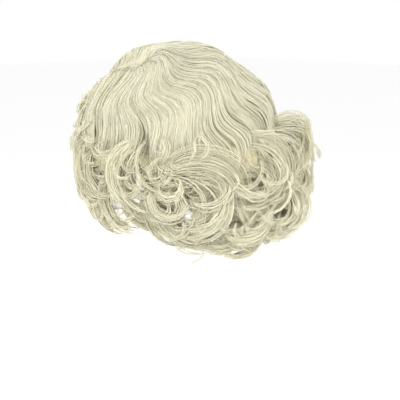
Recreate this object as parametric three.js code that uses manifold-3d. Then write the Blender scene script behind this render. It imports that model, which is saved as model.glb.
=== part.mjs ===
// A short curly wig as it is worn: a hollow cap, the smooth waved hair over it, and the curls
// that hang from its lower half. Millimetres, +Z up. The face looks along -Y and the wearer's
// left is +X. The origin is where the crown of the head touches the inside of the cap.
// Azimuth is measured round the crown, in degrees, from the face by the wearer's left ear, and
// heights are given as a drop below the origin.
import * as THREE from "three";
import { mergeVertices } from "three/addons/utils/BufferGeometryUtils.js";
import Module from "manifold-3d";

const wasm = await Module();
wasm.setup();

// The head that the cap is made for, which is the inside of the cap.
const HEAD_HALF_WIDTH = 78;
const HEAD_FRONT = 94; // crown axis to the forehead
const HEAD_BACK = 101; // crown axis to the back of the head
const CROWN_RISE = 98; // widest girth up to the crown
const NAPE_DROP = 150; // how slowly the head narrows below the girth

// The cap and the clearances between pieces.
const CAP_WALL = 1.5;
const CAP_DROP = 163; // crown down to the lowest point of the cap's rim
const SEAT_GAP = 1.2; // between the cap and the hair sewn to it, measured at the corners of the facets
const PIECE_GAP = 0.5; // between neighbouring pieces of hair

// The smooth hair over the cap.
const PART_DEPTH = 6; // hair left in the groove of the part
const CROWN_DEPTH = 9; // hair on the crown
const SIDE_DEPTH = 15; // hair at the line where the curls start
const SWEEP_PUFF = 2; // extra lift where the hair turns over from the part to the right
const PART_SPREAD = 22; // from the part out to where the hair has its full depth
const WAVE_LENGTH = 58; // from one ridge of the finger waves to the next
const WAVE_RISE = 1.6;

// The curls.
const CURL_LENGTH = 100;
const CURL_WIDTH = 30;
const CURL_THICKNESS = 16;
const CURL_STAND = 20; // how far a curl stands off the cap
const UNDER_DEPTH = 15; // the hair under the curls, at its deepest
const HEM_DEPTH = 5; // the same at its lower edge
const HEM_OVERHANG = 6; // how far it covers the cap's rim

// The part, from the front hairline back to the crown, with its drops as shares of CAP_DROP.
const PART_FRONT = { azimuth: 30, drop: 0.26 };
const PART_BACK = { azimuth: 88, drop: 0.09 };
const FLOW_RADIUS = 95; // turns an angle from the crown into a distance over the head

// How fine the facets are.
const ROUND_STEPS = 30;
const CAP_ROWS = 6;
const HAIR_ROWS = 11;
const HAIR_INNER_ROWS = 8;
const LOCK_SIDES = 5;
const PATH_STEPS = 24; // small steps in which a lock's path is followed
const GENTLE_STEPS = 4; // rings along a lock that turns little
const TIGHT_STEPS = 6; // and along one that turns more than TIGHT_TURN degrees
const TIGHT_TURN = 140;

const COLOURS = { cap: 0xd8cdb0, hair: 0xe4e0c6 };

// Lines round the head, the same on both sides, with drops as shares of CAP_DROP: the cap's
// rim, where the smooth hair ends and the curls start, and where the nape curls start.
const RIM = [
  { azimuth: 0, drop: 0.31 },
  { azimuth: 30, drop: 0.33 },
  { azimuth: 55, drop: 0.45 },
  { azimuth: 75, drop: 0.69 },
  { azimuth: 86, drop: 0.75 },
  { azimuth: 102, drop: 0.69 },
  { azimuth: 130, drop: 0.83 },
  { azimuth: 155, drop: 0.97 },
  { azimuth: 180, drop: 1 },
];
const CURL_LINE = [
  { azimuth: 0, drop: 0.26 },
  { azimuth: 30, drop: 0.28 },
  { azimuth: 55, drop: 0.39 },
  { azimuth: 85, drop: 0.51 },
  { azimuth: 120, drop: 0.57 },
  { azimuth: 150, drop: 0.53 },
  { azimuth: 180, drop: 0.47 },
];
const NAPE_LINE = [
  { azimuth: 0, drop: 0.66 },
  { azimuth: 100, drop: 0.66 },
  { azimuth: 130, drop: 0.75 },
  { azimuth: 180, drop: 0.8 },
];

// The locks of each group, one row each. A lock grows at an azimuth and a drop (a share of
// CAP_DROP). It heads lean degrees from straight down towards a growing azimuth and turns by
// turn degrees over its length, the later the larger its grip. Its length is a share of
// CURL_LENGTH, its width of CURL_WIDTH and its thickness of CURL_THICKNESS. It stands off the
// cap by root at its start and by tip at its end, with lift added in the middle, all three
// shares of CURL_STAND.
const LOCK_COLUMNS = "azimuth drop lean length turn grip root lift tip width thick".split(" ");
const LOCKS = {
  left_front_curls: [
    [46, 0.4, 4, 1.0, 80, 3.0, 0.4, 0.2, 0.4, 0.8, 0.8],
    [60, 0.46, 2, 0.95, 95, 2.4, 0.45, 0.25, 0.45, 0.85, 0.8],
    [74, 0.52, 0, 0.75, 90, 1.8, 0.45, 0.4, 0.5, 0.85, 0.8],
    [111, 0.5, -80, 1.1, 195, 1.0, 0.6, 0.4, 0.7, 0.75, 0.8],
    [101, 0.58, -70, 0.6, 220, 1.0, 0.5, 0.3, 0.5, 0.75, 0.8],
    [64, 0.66, -22, 0.72, 110, 1.5, 0.2, 0.3, 0.2, 0.55, 0.5],
    [76, 0.7, -14, 0.8, 115, 1.6, 0.2, 0.4, 0.3, 0.6, 0.55],
    [90, 0.68, -18, 0.82, 130, 1.4, 0.3, 0.5, 0.5, 0.65, 0.6],
    [102, 0.66, -10, 0.85, 115, 1.3, 0.3, 0.5, 0.6, 0.65, 0.6],
  ],
  left_side_curls: [
    [122, 0.7, 145, 1.25, -170, 1.0, 0.5, 0.7, 0.6, 1.0, 0.85],
    [127, 0.7, 122, 0.85, -115, 1.0, 0.4, 0.6, 0.6, 0.9, 0.85],
    [120, 0.7, -40, 0.78, 215, 1.0, 0.4, 0.8, 0.9, 0.6, 0.7],
    [114, 0.72, -8, 0.9, 105, 1.2, 0.3, 0.5, 0.7, 0.7, 0.65],
    [138, 0.7, 18, 0.85, -75, 1.4, 0.3, 0.5, 0.6, 0.75, 0.7],
    [126, 0.78, -18, 0.85, 150, 1.2, 0.3, 0.5, 0.8, 0.65, 0.65],
    [150, 0.66, 22, 0.9, -120, 1.3, 0.4, 0.6, 0.9, 0.75, 0.7],
  ],
  back_curls: [
    [165, 0.49, 95, 1.35, -215, 1.0, 0.6, 0.8, 0.9, 1.1, 1.1],
    [172, 0.6, 80, 0.75, -200, 1.0, 0.6, 0.6, 0.8, 1.0, 1.0],
    [192, 0.44, 105, 1.0, -150, 1.0, 0.6, 0.9, 1.2, 1.0, 1.0],
    [206, 0.56, 80, 0.95, -190, 1.0, 0.8, 0.9, 1.2, 0.9, 0.9],
    [196, 0.68, 40, 1.0, -165, 1.1, 0.6, 1.2, 1.2, 0.9, 0.9],
    [176, 0.78, 40, 0.9, -185, 1.0, 0.4, 0.9, 1.1, 0.8, 0.8],
    [164, 0.74, 8, 0.8, 95, 1.4, 0.4, 0.6, 0.8, 0.8, 0.7],
    [206, 0.78, 20, 0.85, -150, 1.2, 0.4, 0.9, 1.0, 0.8, 0.8],
  ],
  right_side_curls: [
    [222, 0.58, 60, 1.0, -150, 1.0, 0.6, 0.9, 1.0, 0.95, 0.9],
    [252, 0.56, -62, 1.0, 175, 1.0, 0.6, 0.7, 0.8, 0.9, 0.85],
    [224, 0.7, 8, 0.9, 110, 1.2, 0.5, 0.9, 1.0, 0.75, 0.75],
    [240, 0.66, 20, 0.95, -150, 1.2, 0.5, 0.8, 0.9, 0.8, 0.75],
    [250, 0.7, -8, 0.9, 130, 1.2, 0.3, 0.6, 0.8, 0.7, 0.65],
    [234, 0.78, -6, 0.8, 150, 1.2, 0.3, 0.6, 0.9, 0.7, 0.65],
  ],
  right_front_curls: [
    [314, 0.4, -4, 1.0, -80, 3.0, 0.4, 0.2, 0.4, 0.8, 0.8],
    [300, 0.46, -2, 0.95, -95, 2.4, 0.45, 0.25, 0.45, 0.85, 0.8],
    [286, 0.52, 0, 0.75, -90, 1.8, 0.45, 0.4, 0.5, 0.85, 0.8],
    [254, 0.5, 80, 1.05, -195, 1.0, 0.6, 0.4, 0.7, 0.75, 0.8],
    [260, 0.6, 70, 0.6, -220, 1.0, 0.5, 0.3, 0.5, 0.75, 0.8],
    [296, 0.66, 22, 0.72, -110, 1.5, 0.2, 0.3, 0.2, 0.55, 0.5],
    [284, 0.7, 14, 0.8, -115, 1.6, 0.2, 0.4, 0.3, 0.6, 0.55],
    [272, 0.68, 18, 0.82, -130, 1.4, 0.3, 0.5, 0.5, 0.65, 0.6],
    [260, 0.68, 10, 0.85, -115, 1.3, 0.3, 0.5, 0.6, 0.65, 0.6],
  ],
  nape_curls: [
    [130, 0.86, -10, 0.75, 150, 1.1, 0.1, 0.4, 0.7, 0.6, 0.6],
    [142, 0.9, 0, 0.72, 120, 1.1, 0.1, 0.4, 0.8, 0.65, 0.65],
    [155, 0.92, -6, 0.8, 185, 1.0, 0.1, 0.5, 0.9, 0.7, 0.65],
    [170, 0.93, 8, 0.7, -160, 1.1, 0.1, 0.5, 0.9, 0.7, 0.65],
    [184, 0.92, 30, 0.78, -150, 1.0, 0.1, 0.6, 1.0, 0.7, 0.65],
    [198, 0.92, -8, 0.75, 165, 1.1, 0.1, 0.5, 0.9, 0.7, 0.65],
    [212, 0.9, 8, 0.75, -165, 1.1, 0.1, 0.5, 0.9, 0.65, 0.65],
    [228, 0.86, -4, 0.75, 145, 1.1, 0.1, 0.4, 0.7, 0.6, 0.6],
  ],
  fringe: [
    [24, 0.28, -66, 0.95, 30, 1.5, 0.4, 0.1, 0.4, 0.75, 0.7],
    [10, 0.29, -58, 0.9, 36, 1.6, 0.4, 0.15, 0.4, 0.8, 0.7],
    [352, 0.3, -50, 0.85, 20, 1.6, 0.4, 0.2, 0.4, 0.8, 0.7],
    [336, 0.31, -36, 0.8, 14, 1.6, 0.4, 0.2, 0.4, 0.8, 0.7],
    [322, 0.34, -24, 0.75, 40, 1.8, 0.4, 0.25, 0.4, 0.8, 0.75],
  ],
};

// The hair under each group of locks, which they grow out of: where it starts and ends round
// the head, the lines that it runs between and how deep it is, as a share of UNDER_DEPTH.
const UNDER_HAIR = {
  nape_curls: { from: 104, to: 256, top: NAPE_LINE, bottom: RIM, depth: 0.6 },
  left_front_curls: { from: 36, to: 107, top: CURL_LINE, bottom: RIM, depth: 0.6 },
  left_side_curls: { from: 107, to: 156, top: CURL_LINE, bottom: NAPE_LINE, depth: 0.8 },
  back_curls: { from: 156, to: 216, top: CURL_LINE, bottom: NAPE_LINE, depth: 1 },
  right_side_curls: { from: 216, to: 253, top: CURL_LINE, bottom: NAPE_LINE, depth: 0.9 },
  right_front_curls: { from: 253, to: 315, top: CURL_LINE, bottom: RIM, depth: 0.6 },
  fringe: { from: -45, to: 36, top: CURL_LINE, bottom: RIM, depth: 0.4 },
};

const radians = THREE.MathUtils.degToRad;
const smooth = THREE.MathUtils.smoothstep;

// Point on the head at an azimuth and an angle from the crown, moved out by an offset.
function onHead(azimuth, polar, offset) {
  const rise = Math.cos(polar) < 0 ? NAPE_DROP : CROWN_RISE + offset;
  const depth = Math.cos(azimuth) > 0 ? HEAD_FRONT : HEAD_BACK;
  return new THREE.Vector3(
    Math.sin(azimuth) * Math.sin(polar) * (HEAD_HALF_WIDTH + offset),
    -Math.cos(azimuth) * Math.sin(polar) * (depth + offset),
    -CROWN_RISE + Math.cos(polar) * rise,
  );
}

// Angle from the crown at which the head lies a drop below it.
function polarAt(drop) {
  const above = CROWN_RISE - drop;
  return Math.acos(THREE.MathUtils.clamp(above / (above > 0 ? CROWN_RISE : NAPE_DROP), -1, 1));
}

// Drop of a line round the head at an azimuth, from its table.
function lineDrop(table, azimuth) {
  const turned = Math.abs(THREE.MathUtils.euclideanModulo(azimuth + 180, 360) - 180);
  const next = Math.max(1, table.findIndex((row) => row.azimuth >= turned));
  const [a, b] = [table[next - 1], table[next]];
  return CAP_DROP * THREE.MathUtils.lerp(a.drop, b.drop, smooth(turned, a.azimuth, b.azimuth));
}

// The flat map of the head in which hair runs straight away from the part.
function onMap(azimuth, polar) {
  const reach = polar * FLOW_RADIUS;
  return new THREE.Vector2(Math.sin(azimuth) * reach, -Math.cos(azimuth) * reach);
}

const partFront = onMap(radians(PART_FRONT.azimuth), polarAt(PART_FRONT.drop * CAP_DROP));
const partBack = onMap(radians(PART_BACK.azimuth), polarAt(PART_BACK.drop * CAP_DROP));

// Distance from the part, and which side of it a place is on, 1 for the wearer's left.
function fromPart(azimuth, polar) {
  const place = onMap(azimuth, polar);
  const along = partBack.clone().sub(partFront);
  const offset = place.clone().sub(partFront);
  const share = THREE.MathUtils.clamp(offset.dot(along) / along.lengthSq(), 0, 1);
  const away = offset.clone().sub(along.clone().multiplyScalar(share));
  return { distance: away.length(), side: Math.sign(along.y * offset.x - along.x * offset.y) };
}

// Depth of the smooth hair over the cap.
function hairDepth(azimuth, polar) {
  const { distance, side } = fromPart(azimuth, polar);
  const towardsCurls = smooth(polar, 0, Math.PI / 2) * smooth(1 - Math.cos(azimuth), 0, 0.4);
  const full = CROWN_DEPTH + (SIDE_DEPTH - CROWN_DEPTH) * towardsCurls;
  const open = smooth(distance, 0, PART_SPREAD);
  const puff = side < 0 ? SWEEP_PUFF * open * (1 - smooth(distance, PART_SPREAD, 4 * PART_SPREAD)) : 0;
  const wave = WAVE_RISE * open * Math.sin((2 * Math.PI * distance) / WAVE_LENGTH);
  return THREE.MathUtils.lerp(PART_DEPTH, full, open) + puff + wave;
}

function geometryOf(points, triangles) {
  const geometry = new THREE.BufferGeometry().setFromPoints(points);
  geometry.setIndex(triangles.flat());
  return geometry;
}

function solidOf(geometry) {
  const bare = new THREE.BufferGeometry();
  bare.setAttribute("position", geometry.getAttribute("position"));
  bare.setIndex(geometry.index);
  const merged = mergeVertices(bare, 1e-4);
  return new wasm.Manifold(
    new wasm.Mesh({
      numProp: 3,
      vertProperties: new Float32Array(merged.attributes.position.array),
      triVerts: new Uint32Array(merged.index.array),
    }),
  );
}

// The largest body of a solid, without the sealed hollows that crossing locks leave.
function mainBody(solid) {
  const bodies = solid.decompose().filter((body) => body.volume() > 0);
  return bodies.reduce((best, body) => (body.volume() > best.volume() ? body : best));
}

function meshOf(name, solid, colour) {
  const made = solid.getMesh();
  const geometry = new THREE.BufferGeometry();
  geometry.setAttribute("position", new THREE.BufferAttribute(Float32Array.from(made.vertProperties), 3));
  geometry.setIndex(new THREE.BufferAttribute(Uint32Array.from(made.triVerts), 1));
  geometry.computeVertexNormals();
  const material = new THREE.MeshStandardMaterial({ color: colour, roughness: 0.55, metalness: 0 });
  const mesh = new THREE.Mesh(geometry, material);
  mesh.name = name;
  return mesh;
}

// A dome from the crown down to a line, between an inner and an outer surface.
function dome(dropAt, innerOffset, outerOffset, outerRows, innerRows) {
  const points = [];
  const triangles = [];
  const azimuths = Array.from({ length: ROUND_STEPS }, (_, k) => (2 * Math.PI * k) / ROUND_STEPS);
  const skin = (rows, offsetAt) => {
    const first = points.length;
    points.push(onHead(0, 0, offsetAt(0, 0)));
    for (let row = 1; row <= rows; row++)
      for (const azimuth of azimuths) {
        const polar = (row / rows) * polarAt(dropAt(THREE.MathUtils.radToDeg(azimuth)));
        points.push(onHead(azimuth, polar, offsetAt(azimuth, polar)));
      }
    return first;
  };
  const outer = skin(outerRows, outerOffset);
  const inner = skin(innerRows, innerOffset);
  const at = (first, row, k) => first + 1 + (row - 1) * ROUND_STEPS + (k % ROUND_STEPS);
  for (let k = 0; k < ROUND_STEPS; k++) {
    triangles.push([outer, at(outer, 1, k), at(outer, 1, k + 1)]);
    triangles.push([inner, at(inner, 1, k + 1), at(inner, 1, k)]);
    for (let row = 1; row < outerRows; row++) {
      triangles.push([at(outer, row, k), at(outer, row + 1, k), at(outer, row + 1, k + 1)]);
      triangles.push([at(outer, row, k), at(outer, row + 1, k + 1), at(outer, row, k + 1)]);
    }
    for (let row = 1; row < innerRows; row++) {
      triangles.push([at(inner, row, k), at(inner, row + 1, k + 1), at(inner, row + 1, k)]);
      triangles.push([at(inner, row, k), at(inner, row, k + 1), at(inner, row + 1, k + 1)]);
    }
    triangles.push([at(outer, outerRows, k), at(inner, innerRows, k), at(inner, innerRows, k + 1)]);
    triangles.push([at(outer, outerRows, k), at(inner, innerRows, k + 1), at(outer, outerRows, k + 1)]);
  }
  return solidOf(geometryOf(points, triangles));
}

// Skins a strip of equal rings of points, one ring after the other, and closes its two ends.
function loft(rings) {
  const sides = rings[0].length;
  const points = rings.flat();
  const triangles = [];
  for (let ring = 0; ring + 1 < rings.length; ring++)
    for (let k = 0; k < sides; k++) {
      const [a, b] = [ring * sides + k, ring * sides + ((k + 1) % sides)];
      triangles.push([a, b, b + sides], [a, b + sides, a + sides]);
    }
  const last = (rings.length - 1) * sides;
  for (let k = 1; k + 1 < sides; k++) {
    triangles.push([0, k + 1, k]);
    triangles.push([last, last + k, last + k + 1]);
  }
  return solidOf(geometryOf(points, triangles));
}

// The hair under a group of locks. It is as deep as the smooth hair where it meets that, and
// thins out towards its lower edge.
function underHair({ from, to, top, bottom, depth }, grow) {
  const start = from + PIECE_GAP / 2 - grow / 2;
  const end = to - PIECE_GAP / 2 + grow / 2;
  const steps = Math.max(3, Math.round((end - start) / (360 / ROUND_STEPS)));
  const shares = [0, 0.25, 0.5, 0.75, 1];
  const rings = [];
  for (let k = 0; k <= steps; k++) {
    const azimuth = start + ((end - start) * k) / steps;
    const hem = bottom === RIM ? HEM_OVERHANG : 0;
    const high = lineDrop(top, azimuth) + PIECE_GAP - grow;
    const low = lineDrop(bottom, azimuth) + hem + grow;
    const drops = shares.map((share) => THREE.MathUtils.lerp(high, low, share));
    const inside = CAP_WALL + SEAT_GAP - grow;
    const first = top === CURL_LINE ? hairDepth(radians(azimuth), polarAt(high)) : depth * UNDER_DEPTH;
    const outside = (share) => {
      const bulge = depth * UNDER_DEPTH * Math.sin(Math.PI * share) * 0.5;
      return CAP_WALL + SEAT_GAP + THREE.MathUtils.lerp(first, HEM_DEPTH, share) + bulge + grow;
    };
    const place = (drop, offset) => onHead(radians(azimuth), polarAt(drop), offset);
    rings.push([
      ...drops.map((drop, row) => place(drop, outside(shares[row]))),
      ...drops.toReversed().map((drop) => place(drop, inside)),
    ]);
  }
  return loft(rings);
}

// Places along a lock: each has its point, the way out of the head, and its share of the length.
function lockPath(lock) {
  const steps = Math.abs(lock.turn) > TIGHT_TURN ? TIGHT_STEPS : GENTLE_STEPS;
  const places = [];
  let azimuth = radians(lock.azimuth);
  let polar = polarAt(lock.drop * CAP_DROP);
  const stride = (lock.length * CURL_LENGTH) / PATH_STEPS;
  const nudge = 1e-3;
  for (let k = 0; k <= PATH_STEPS; k++) {
    const share = k / PATH_STEPS;
    const stand = lock.root + lock.lift * Math.sin(Math.PI * share) + (lock.tip - lock.root) * share;
    const offset = CAP_WALL + SEAT_GAP + stand * CURL_STAND;
    const point = onHead(azimuth, polar, offset);
    const round = onHead(azimuth + nudge, polar, offset).sub(point).divideScalar(nudge);
    const down = onHead(azimuth, polar + nudge, offset).sub(point).divideScalar(nudge);
    if (k % (PATH_STEPS / steps) === 0)
      places.push({ point, out: down.clone().cross(round).normalize(), share });
    const heading = radians(lock.lean + lock.turn * share ** lock.grip);
    azimuth += (Math.sin(heading) * stride) / round.length();
    polar += (Math.cos(heading) * stride) / down.length();
  }
  return places;
}

// How full a lock is along its length: gathered at the root, full in the middle, thin at the tip.
function fullness(share) {
  return (0.6 + 0.4 * smooth(share, 0, 0.3)) * (1 - 0.75 * smooth(share, 0.55, 1) ** 1.2);
}

function lockSolid(lock, grow) {
  const places = lockPath(lock);
  const rings = places.map(({ point, out, share }, k) => {
    const before = places[Math.max(0, k - 1)].point;
    const after = places[Math.min(places.length - 1, k + 1)].point;
    const along = after.clone().sub(before).normalize();
    const across = out.clone().cross(along).normalize();
    const up = along.clone().cross(across).normalize();
    const half = fullness(share) / 2;
    const end = k === 0 ? -grow : k === places.length - 1 ? grow : 0;
    return Array.from({ length: LOCK_SIDES }, (_, side) => {
      const angle = (2 * Math.PI * (side + 0.5)) / LOCK_SIDES;
      return point
        .clone()
        .addScaledVector(along, end)
        .addScaledVector(across, Math.cos(angle) * (lock.width * CURL_WIDTH * half + grow))
        .addScaledVector(up, Math.sin(angle) * (lock.thick * CURL_THICKNESS * half + grow));
    });
  });
  return loft(rings);
}

function locksOf(name) {
  return LOCKS[name].map((row) => Object.fromEntries(LOCK_COLUMNS.map((column, k) => [column, row[k]])));
}

// A group of locks fused to the hair under them, with every surface moved out by grow.
function curls(name, grow = 0) {
  let solid = underHair(UNDER_HAIR[name], grow);
  for (const lock of locksOf(name)) solid = solid.add(lockSolid(lock, grow));
  return solid;
}

// A thin upright wall through the part, which divides the smooth hair into its two sides.
function partWall(thickness) {
  const front = onHead(radians(PART_FRONT.azimuth), polarAt(PART_FRONT.drop * CAP_DROP), 0);
  const back = onHead(radians(PART_BACK.azimuth), polarAt(PART_BACK.drop * CAP_DROP), 0);
  const along = new THREE.Vector2(back.x - front.x, back.y - front.y).normalize();
  const reach = 2 * (HEAD_FRONT + HEAD_BACK);
  const wall = new THREE.BoxGeometry(reach, thickness, reach);
  wall.rotateZ(Math.atan2(along.y, along.x));
  wall.translate(back.x, back.y, -CROWN_RISE);
  return solidOf(wall);
}

const cap = dome(
  (azimuth) => lineDrop(RIM, azimuth),
  () => 0,
  () => CAP_WALL,
  CAP_ROWS,
  CAP_ROWS,
);
const smoothHair = (grow) =>
  dome(
    (azimuth) => lineDrop(CURL_LINE, azimuth) + grow,
    () => CAP_WALL + SEAT_GAP - grow,
    (azimuth, polar) => CAP_WALL + SEAT_GAP + hairDepth(azimuth, polar) + grow,
    HAIR_ROWS,
    HAIR_INNER_ROWS,
  );
const halves = smoothHair(0).subtract(partWall(PIECE_GAP)).decompose();
const leftmost = (solid) => solid.boundingBox().max[0];
const [leftWaves, crownSweep] = halves.toSorted((a, b) => leftmost(b) - leftmost(a));

const wig = new THREE.Group();
wig.add(meshOf("cap", cap, COLOURS.cap));
wig.add(meshOf("left_waves", leftWaves, COLOURS.hair));
wig.add(meshOf("crown_sweep", crownSweep, COLOURS.hair));

// Each group is cut back from the pieces that lie before it, so that all keep a small gap.
let before = smoothHair(PIECE_GAP);
for (const name of Object.keys(UNDER_HAIR)) {
  const solid = mainBody(curls(name).subtract(before));
  wig.add(meshOf(name, solid, COLOURS.hair));
  before = before.add(curls(name, PIECE_GAP));
}

export default wig;
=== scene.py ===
"""Dresses a short, pale, side-parted wig with finger waves and a deep fringe of curls.

Metres, +Z up. The face looks along -Y and the wearer's left is +X. The origin is where the crown
of the head touches the inside of the cap. Azimuth runs round the crown, in degrees in tables and
in radians elsewhere, from the face by the wearer's left ear. A drop lies below the origin.
"""

import logging
import math
from dataclasses import dataclass, field
from enum import Enum
from typing import Any, NamedTuple

import bmesh
import bpy
import numpy as np
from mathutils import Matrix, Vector

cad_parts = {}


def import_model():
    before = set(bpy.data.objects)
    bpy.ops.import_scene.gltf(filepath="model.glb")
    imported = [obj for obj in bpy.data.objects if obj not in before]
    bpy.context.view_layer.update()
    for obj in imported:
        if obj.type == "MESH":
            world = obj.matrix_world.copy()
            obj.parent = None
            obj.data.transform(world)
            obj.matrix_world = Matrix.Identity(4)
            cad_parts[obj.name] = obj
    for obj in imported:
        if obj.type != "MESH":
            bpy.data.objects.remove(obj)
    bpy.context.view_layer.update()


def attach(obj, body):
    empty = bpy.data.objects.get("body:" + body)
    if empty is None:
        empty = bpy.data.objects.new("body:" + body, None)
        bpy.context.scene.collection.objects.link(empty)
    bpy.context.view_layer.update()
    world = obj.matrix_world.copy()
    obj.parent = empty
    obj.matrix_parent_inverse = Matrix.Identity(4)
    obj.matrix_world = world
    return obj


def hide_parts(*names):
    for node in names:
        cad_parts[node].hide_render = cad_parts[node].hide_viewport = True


log = logging.getLogger("wig")
MM = 0.001
Numbers = np.ndarray | float
Colour = tuple[float, float, float]
Strip = dict[str, np.ndarray]  # a lock's path and its sections, by name
Faces = list[tuple[int, ...]]
Solid = tuple[np.ndarray, Faces, np.ndarray]  # points, faces, and where each point lies in the hair


class Side(Enum):
    """The two sides of the part."""

    LEFT = 1.0
    RIGHT = -1.0


class Place(NamedTuple):
    """A point of a line round the head, its drop a share of the cap's whole drop."""

    azimuth: float
    drop: float


Line = tuple[Place, ...]

RIM: Line = (
    Place(0, 0.31), Place(30, 0.33), Place(55, 0.45), Place(75, 0.69), Place(86, 0.75),
    Place(102, 0.69), Place(130, 0.83), Place(155, 0.97), Place(180, 1.0),
)
CURL_LINE: Line = (
    Place(0, 0.26), Place(30, 0.28), Place(55, 0.39), Place(85, 0.51),
    Place(120, 0.57), Place(150, 0.53), Place(180, 0.47),
)
NAPE_LINE: Line = (Place(0, 0.66), Place(100, 0.66), Place(130, 0.75), Place(180, 0.8))


def smooth(value: Numbers, low: Numbers, high: Numbers) -> np.ndarray:
    """Rises smoothly from 0 at low to 1 at high.

    Args:
        value: where to read the step.
        low: where it starts.
        high: where it ends.

    Returns:
        The step's height, 0 to 1.
    """
    share = np.clip((np.asarray(value, dtype=float) - low) / (high - low), 0.0, 1.0)
    return share * share * (3.0 - 2.0 * share)


def unit(vectors: np.ndarray) -> np.ndarray:
    """Returns the vectors with a length of one."""
    return vectors / np.maximum(np.linalg.norm(vectors, axis=-1, keepdims=True), 1e-12)


@dataclass(frozen=True)
class Head:
    """The head that the cap is made for, and the cap's own sizes."""

    half_width: float = 0.078
    front: float = 0.094
    back: float = 0.101
    crown_rise: float = 0.098
    nape_drop: float = 0.150
    cap_drop: float = 0.163
    cap_wall: float = 0.0015
    seat_gap: float = 0.0012

    @property
    def skin(self) -> float:
        """How far out of the head the hair starts."""
        return self.cap_wall + self.seat_gap

    def polar_at(self, drop: Numbers) -> np.ndarray:
        """Returns the angle from the crown at which the head lies a drop below it."""
        above = self.crown_rise - np.asarray(drop, dtype=float)
        rise = np.where(above > 0, self.crown_rise, self.nape_drop)
        return np.arccos(np.clip(above / rise, -1.0, 1.0))

    def point(self, azimuth: np.ndarray, polar: np.ndarray, offset: Numbers) -> np.ndarray:
        """Places on the head moved out by an offset.

        Args:
            azimuth: round the crown, in radians.
            polar: angle from the crown, in radians.
            offset: distance out of the head.

        Returns:
            An array with a last axis of x, y and z.
        """
        rise = np.where(np.cos(polar) < 0, self.nape_drop, self.crown_rise + offset)
        depth = np.where(np.cos(azimuth) > 0, self.front, self.back)
        return np.stack(
            [
                np.sin(azimuth) * np.sin(polar) * (self.half_width + offset),
                -np.cos(azimuth) * np.sin(polar) * (depth + offset),
                -self.crown_rise + np.cos(polar) * rise,
            ],
            axis=-1,
        )

    def axes(
        self, azimuth: np.ndarray, polar: np.ndarray, offset: Numbers
    ) -> tuple[np.ndarray, np.ndarray, np.ndarray]:
        """Returns how a place moves with azimuth and with polar angle, and the way out of the head.

        Args:
            azimuth: round the crown, in radians.
            polar: angle from the crown, in radians.
            offset: distance out of the head.

        Returns:
            The two ways, as metres in a radian, and the way out with a length of one.
        """
        nudge = 1e-4
        here = self.point(azimuth, polar, offset)
        round_crown = (self.point(azimuth + nudge, polar, offset) - here) / nudge
        down = (self.point(azimuth, polar + nudge, offset) - here) / nudge
        return round_crown, down, unit(np.cross(down, round_crown))

    def line_drop(self, line: Line, degrees: Numbers) -> np.ndarray:
        """Returns the drop of a line round the head at an azimuth in degrees.

        Args:
            line: the line.
            degrees: the azimuth, of either side of the head.

        Returns:
            The drop in metres, eased between the line's points.
        """
        turned = np.abs((np.asarray(degrees, dtype=float) + 180.0) % 360.0 - 180.0)
        azimuths = np.array([place.azimuth for place in line])
        drops = np.array([place.drop for place in line])
        after = np.clip(np.searchsorted(azimuths, turned), 1, len(line) - 1)
        low, high = azimuths[after - 1], azimuths[after]
        share = smooth(turned, low, high)
        return self.cap_drop * (drops[after - 1] + (drops[after] - drops[after - 1]) * share)


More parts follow.
